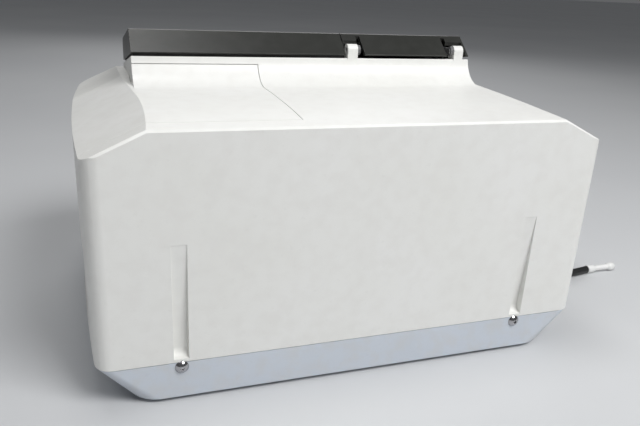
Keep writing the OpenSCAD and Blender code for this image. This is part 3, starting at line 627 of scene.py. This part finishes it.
def make_block(m):
    put(soften("block_tray", "block_surround", 0.0006), "block_surround", m["inner_grey"])
    put(soften("well_block", "sample_block", 0.00025, angle=40), "sample_block", m["block_aluminium"])
    lo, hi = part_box("sample_block")
    mid, top = (lo + hi) / 2, hi.z
    bm = bmesh.new()
    cone = [(0.00288, -0.0118), (0.00288, -0.0006), (0.00262, -0.0008), (0.00130, -0.0095), (0.0008, -0.0108),
            (0, -0.0112)]
    for i in range(WELL_COLUMNS):
        for j in range(WELL_ROWS):
            spot = Matrix.Translation((mid.x + (i - (WELL_COLUMNS - 1) / 2) * WELL_PITCH,
                                       mid.y + (j - (WELL_ROWS - 1) / 2) * WELL_PITCH, top))
            lathe(bm, [(0, -0.0118)] + cone, spot, 20)
    put(finish_mesh("well_liners", bm), body="casing", material=m["block_aluminium"])
    put(soften("block_seal", "block_gasket", 0.0004), "block_gasket", m["rubber_black"])
    put(soften("thermal_modules", "peltier_modules", 0.0002), "peltier_modules", m["module_white"])
    put(soften("finned_sink", "heat_sink", 0.0002, 1), "heat_sink", m["sink_aluminium"])
    put(soften("block_stand", "block_bracket", 0.0002, 1), "block_bracket", m["steel"])


def make_lid(m):
    put(soften("lid_shell", "lid_cover", 0.0011, 3), "lid_cover", m["panel_black"])
    put(soften("lid_inner_frame", "lid_frame", 0.0003), "lid_frame", m["inner_grey"])
    put(soften("lid_gasket", "lid_seal", 0.0004), "lid_seal", m["rubber_black"])
    put(soften("heater_plate", "heated_plate", 0.0004), "heated_plate", m["block_aluminium"])
    put(soften("shoulder_bolts", "plate_bolts", 0.0003), "plate_bolts", m["steel"])
    put(soften("hinge_axles", "hinge_pins", 0.0003), "hinge_pins", m["steel"])
    put(soften("latch_axle", "latch_pin", 0.0003), "latch_pin", m["steel"])
    put(soften("catch_bar", "latch_catch", 0.0003), "latch_catch", m["steel"])
    put(soften("latch_lever", "latch_handle", 0.0006, 3), "latch_handle", m["key_grey"])
    make_springs(m)


def make_springs(m):
    """Coil springs whose end turns lie flat."""
    lo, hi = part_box("plate_springs")
    wire, coil_r, outer_r, turns, flat, steps = 0.00055, 0.00335, 0.004, 4.5, 0.8, 20
    bottom, top = lo.z + wire, hi.z - wire
    bm = bmesh.new()
    for x in (lo.x + outer_r, hi.x - outer_r):
        for y in (lo.y + outer_r, hi.y - outer_r):
            points = []
            for k in range(int(turns * steps) + 1):
                t = k / (turns * steps)
                a = 2 * math.pi * turns * t
                share = min(max((t * turns - flat) / (turns - 2 * flat), 0), 1)
                points.append(Vector((x + coil_r * math.cos(a), y + coil_r * math.sin(a),
                                      bottom + (top - bottom) * share)))
            tube(bm, points, wire)
    springs = put(finish_mesh("plate_coil_springs", bm), "plate_springs", m["steel"])
    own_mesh(springs)


# ---------------------------------------------------------------- inside and side face

def fan_wheel(name, node, axis, radius, hub, depth, blades, m):
    """A hub with swept, twisted blades, inside the CAD rotor's box."""
    lo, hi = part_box(node)
    mid = (lo + hi) / 2
    turn = Matrix.Rotation(math.pi / 2, 4, "Y") if axis == "X" else Matrix.Identity(4)
    low = lo.x if axis == "X" else lo.z
    base = Vector((low, mid.y, mid.z)) if axis == "X" else Vector((mid.x, mid.y, low))
    place = Matrix.Translation(base) @ turn
    bm = bmesh.new()
    lathe(bm, [(0, 0), (0.0019, 0), (0.0019, 0.0040), (hub - 0.0006, 0.0040), (hub, 0.0048), (hub, depth - 0.0016),
               (hub - 0.0005, depth - 0.0005), (hub - 0.0016, depth - 0.0001), (0, depth - 0.0001)], place, 48)
    across, along = 6, 8
    for b in range(blades):
        start = 2 * math.pi * b / blades
        faces = []
        for lift in (0.0006, -0.0006):
            grid = []
            for i in range(across + 1):
                s = i / across
                r = hub * 0.96 + (radius - hub * 0.96) * s
                pitch = math.radians(52 - 22 * s)
                chord = (0.62 + 0.18 * s) * hub * 1.15
                row = []
                for j in range(along + 1):
                    t = j / along - 0.5
                    angle = start + 0.22 * s * s + t * chord * math.cos(pitch) / r
                    z = depth * 0.53 + t * chord * math.sin(pitch) + 0.0012 * (0.25 - t * t) * 4
                    z = min(max(z, 0.0046), depth - 0.0012)
                    thick = lift * (1.15 - 2 * abs(t) ** 1.5)
                    row.append(bm.verts.new(place @ Vector((r * math.cos(angle), r * math.sin(angle), z + thick))))
                grid.append(row)
            faces.append(grid)
        top, bottom = faces
        for i in range(across):
            for j in range(along):
                bm.faces.new((top[i][j], top[i + 1][j], top[i + 1][j + 1], top[i][j + 1]))
                bm.faces.new((bottom[i][j], bottom[i][j + 1], bottom[i + 1][j + 1], bottom[i + 1][j]))
        for i in range(across):
            bm.faces.new((top[i][0], bottom[i][0], bottom[i + 1][0], top[i + 1][0]))
            bm.faces.new((top[i][along], top[i + 1][along], bottom[i + 1][along], bottom[i][along]))
        for j in range(along):
            bm.faces.new((top[0][j], top[0][j + 1], bottom[0][j + 1], bottom[0][j]))
            bm.faces.new((top[across][j], bottom[across][j], bottom[across][j + 1], top[across][j + 1]))
    bmesh.ops.recalc_face_normals(bm, faces=bm.faces)
    put(finish_mesh(name, bm), node, m["fan_black"])


def by_height(obj, bands):
    """Gives faces the material of the first (height, index) band they lie under."""
    for f in obj.data.polygons:
        z = f.center.z
        f.material_index = next((index for top, index in bands if z < top), 0)


STANDOFF_TOP = 0.0461
BOARD_TOP = 0.0482
ABOVE_ALL = 0.9


def make_inside(m):
    for node, name in (("cooling_fan_frame", "cooling_fan_housing"), ("exhaust_fan_frame", "exhaust_fan_housing")):
        put(soften(name, node, 0.0004), node, m["fan_black"])
    fan_wheel("cooling_fan_wheel", "cooling_fan_rotor", "Z", 0.0396, 0.0167, 0.0218, 7, m)
    fan_wheel("exhaust_fan_wheel", "exhaust_fan_rotor", "X", 0.0252, 0.0106, 0.0168, 7, m)
    put(soften("air_plenum", "air_duct", 0.0004), "air_duct", m["inner_grey"])
    put(soften("chassis_sheet", "chassis_plate", 0.0003), "chassis_plate", m["steel"])
    put(soften("supply_case", "power_supply", 0.0003), "power_supply", m["steel"])
    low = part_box("main_board")[0].z
    main = put(soften("control_board", "main_board", 0.0002), "main_board",
               [m["board_green"], m["inductor"], m["steel"]])
    by_height(main, [(low + STANDOFF_TOP, 2), (low + BOARD_TOP, 0), (ABOVE_ALL, 1)])


def make_side(m):
    put(soften("inlet_shell", "mains_inlet", 0.0005), "mains_inlet", m["fan_black"])
    put(soften("switch_surround", "switch_frame", 0.0005), "switch_frame", m["fan_black"])
    put(soften("switch_key", "switch_rocker", 0.0004), "switch_rocker", m["key_grey"])
    make_switch_marks(m)


ROCKER_TILT = math.radians(8)
ROCKER_SLANT = 1.6 / 10.2
SWITCH_MARK_R = 0.0003
SWITCH_RING = 0.0016


def make_switch_marks(m):
    """A bar and a ring on the two halves of the rocker's face."""
    pivot = Vector(next(j["pos_m"] for j in frame["record"]["behaviour"]["joints"] if j["name"] == "power_rocker"))
    place = Matrix.Translation(pivot) @ Matrix.Rotation(ROCKER_TILT, 4, "Y")

    def on_face(y, z):
        return place @ Vector((-0.0064 - abs(z) * ROCKER_SLANT - 0.00002, y, z))

    bm = bmesh.new()
    tube(bm, [on_face(0, 0.0036 + 0.0006 * k) for k in range(6)], SWITCH_MARK_R)
    ring = [on_face(SWITCH_RING * math.cos(a), -0.0052 + SWITCH_RING * math.sin(a))
            for a in (2 * math.pi * k / 28 for k in range(29))]
    tube(bm, ring, SWITCH_MARK_R)
    put(finish_mesh("switch_marks", bm), body="rocker", material=m["mark_white"])


# ---------------------------------------------------------------- floor and light

def make_stage():
    bm = bmesh.new()
    bmesh.ops.create_grid(bm, x_segments=2, y_segments=2, size=15)
    floor = finish_mesh("floor", bm, False)
    p = Paint("floor", 0.7)
    hue = p.mix(p.spread(p.noise(0.6, 3), 0.3, 0.7), (0.62, 0.63, 0.645), (0.66, 0.67, 0.68))
    p.relief(p.noise(0.002, 3), 0.00005)
    floor.data.materials.append(p.done(hue))


def area_light(name, place, target, size, power):
    data = bpy.data.lights.new(name, "AREA")
    data.shape = "RECTANGLE"
    data.size, data.size_y = size
    data.energy = power
    lamp = bpy.data.objects.new(name, data)
    bpy.context.scene.collection.objects.link(lamp)
    lamp.location = place
    lamp.rotation_mode = "QUATERNION"
    lamp.rotation_quaternion = (Vector(target) - Vector(place)).to_track_quat("-Z", "Y")


def make_light():
    world = bpy.data.worlds.new("studio")
    world.use_nodes = True
    back = world.node_tree.nodes["Background"]
    back.inputs["Color"].default_value = (0.95, 0.97, 1.0, 1)
    back.inputs["Strength"].default_value = 0.13
    bpy.context.scene.world = world
    area_light("key", (-0.7, 1.3, 1.85), (0, 0.1, 0.15), (1.1, 0.9), 38)
    area_light("overhead", (0.22, -0.1, 2.0), (0.1, -0.05, 0.25), (0.5, 0.5), 6.5)
    area_light("side_fill", (0.95, 0.6, 1.9), (0, 0.1, 0.15), (0.9, 0.7), 4)
    area_light("front_fill", (-0.6, -2.2, 1.3), (0, 0, 0.15), (1.6, 1.2), 8)
    view = bpy.context.scene.view_settings
    view.view_transform = "Standard"
    view.look = "None"


make_casing(MATS)
make_panel(MATS)
make_button(MATS)
make_block(MATS)
make_lid(MATS)
make_inside(MATS)
make_side(MATS)
make_stage()
make_light()
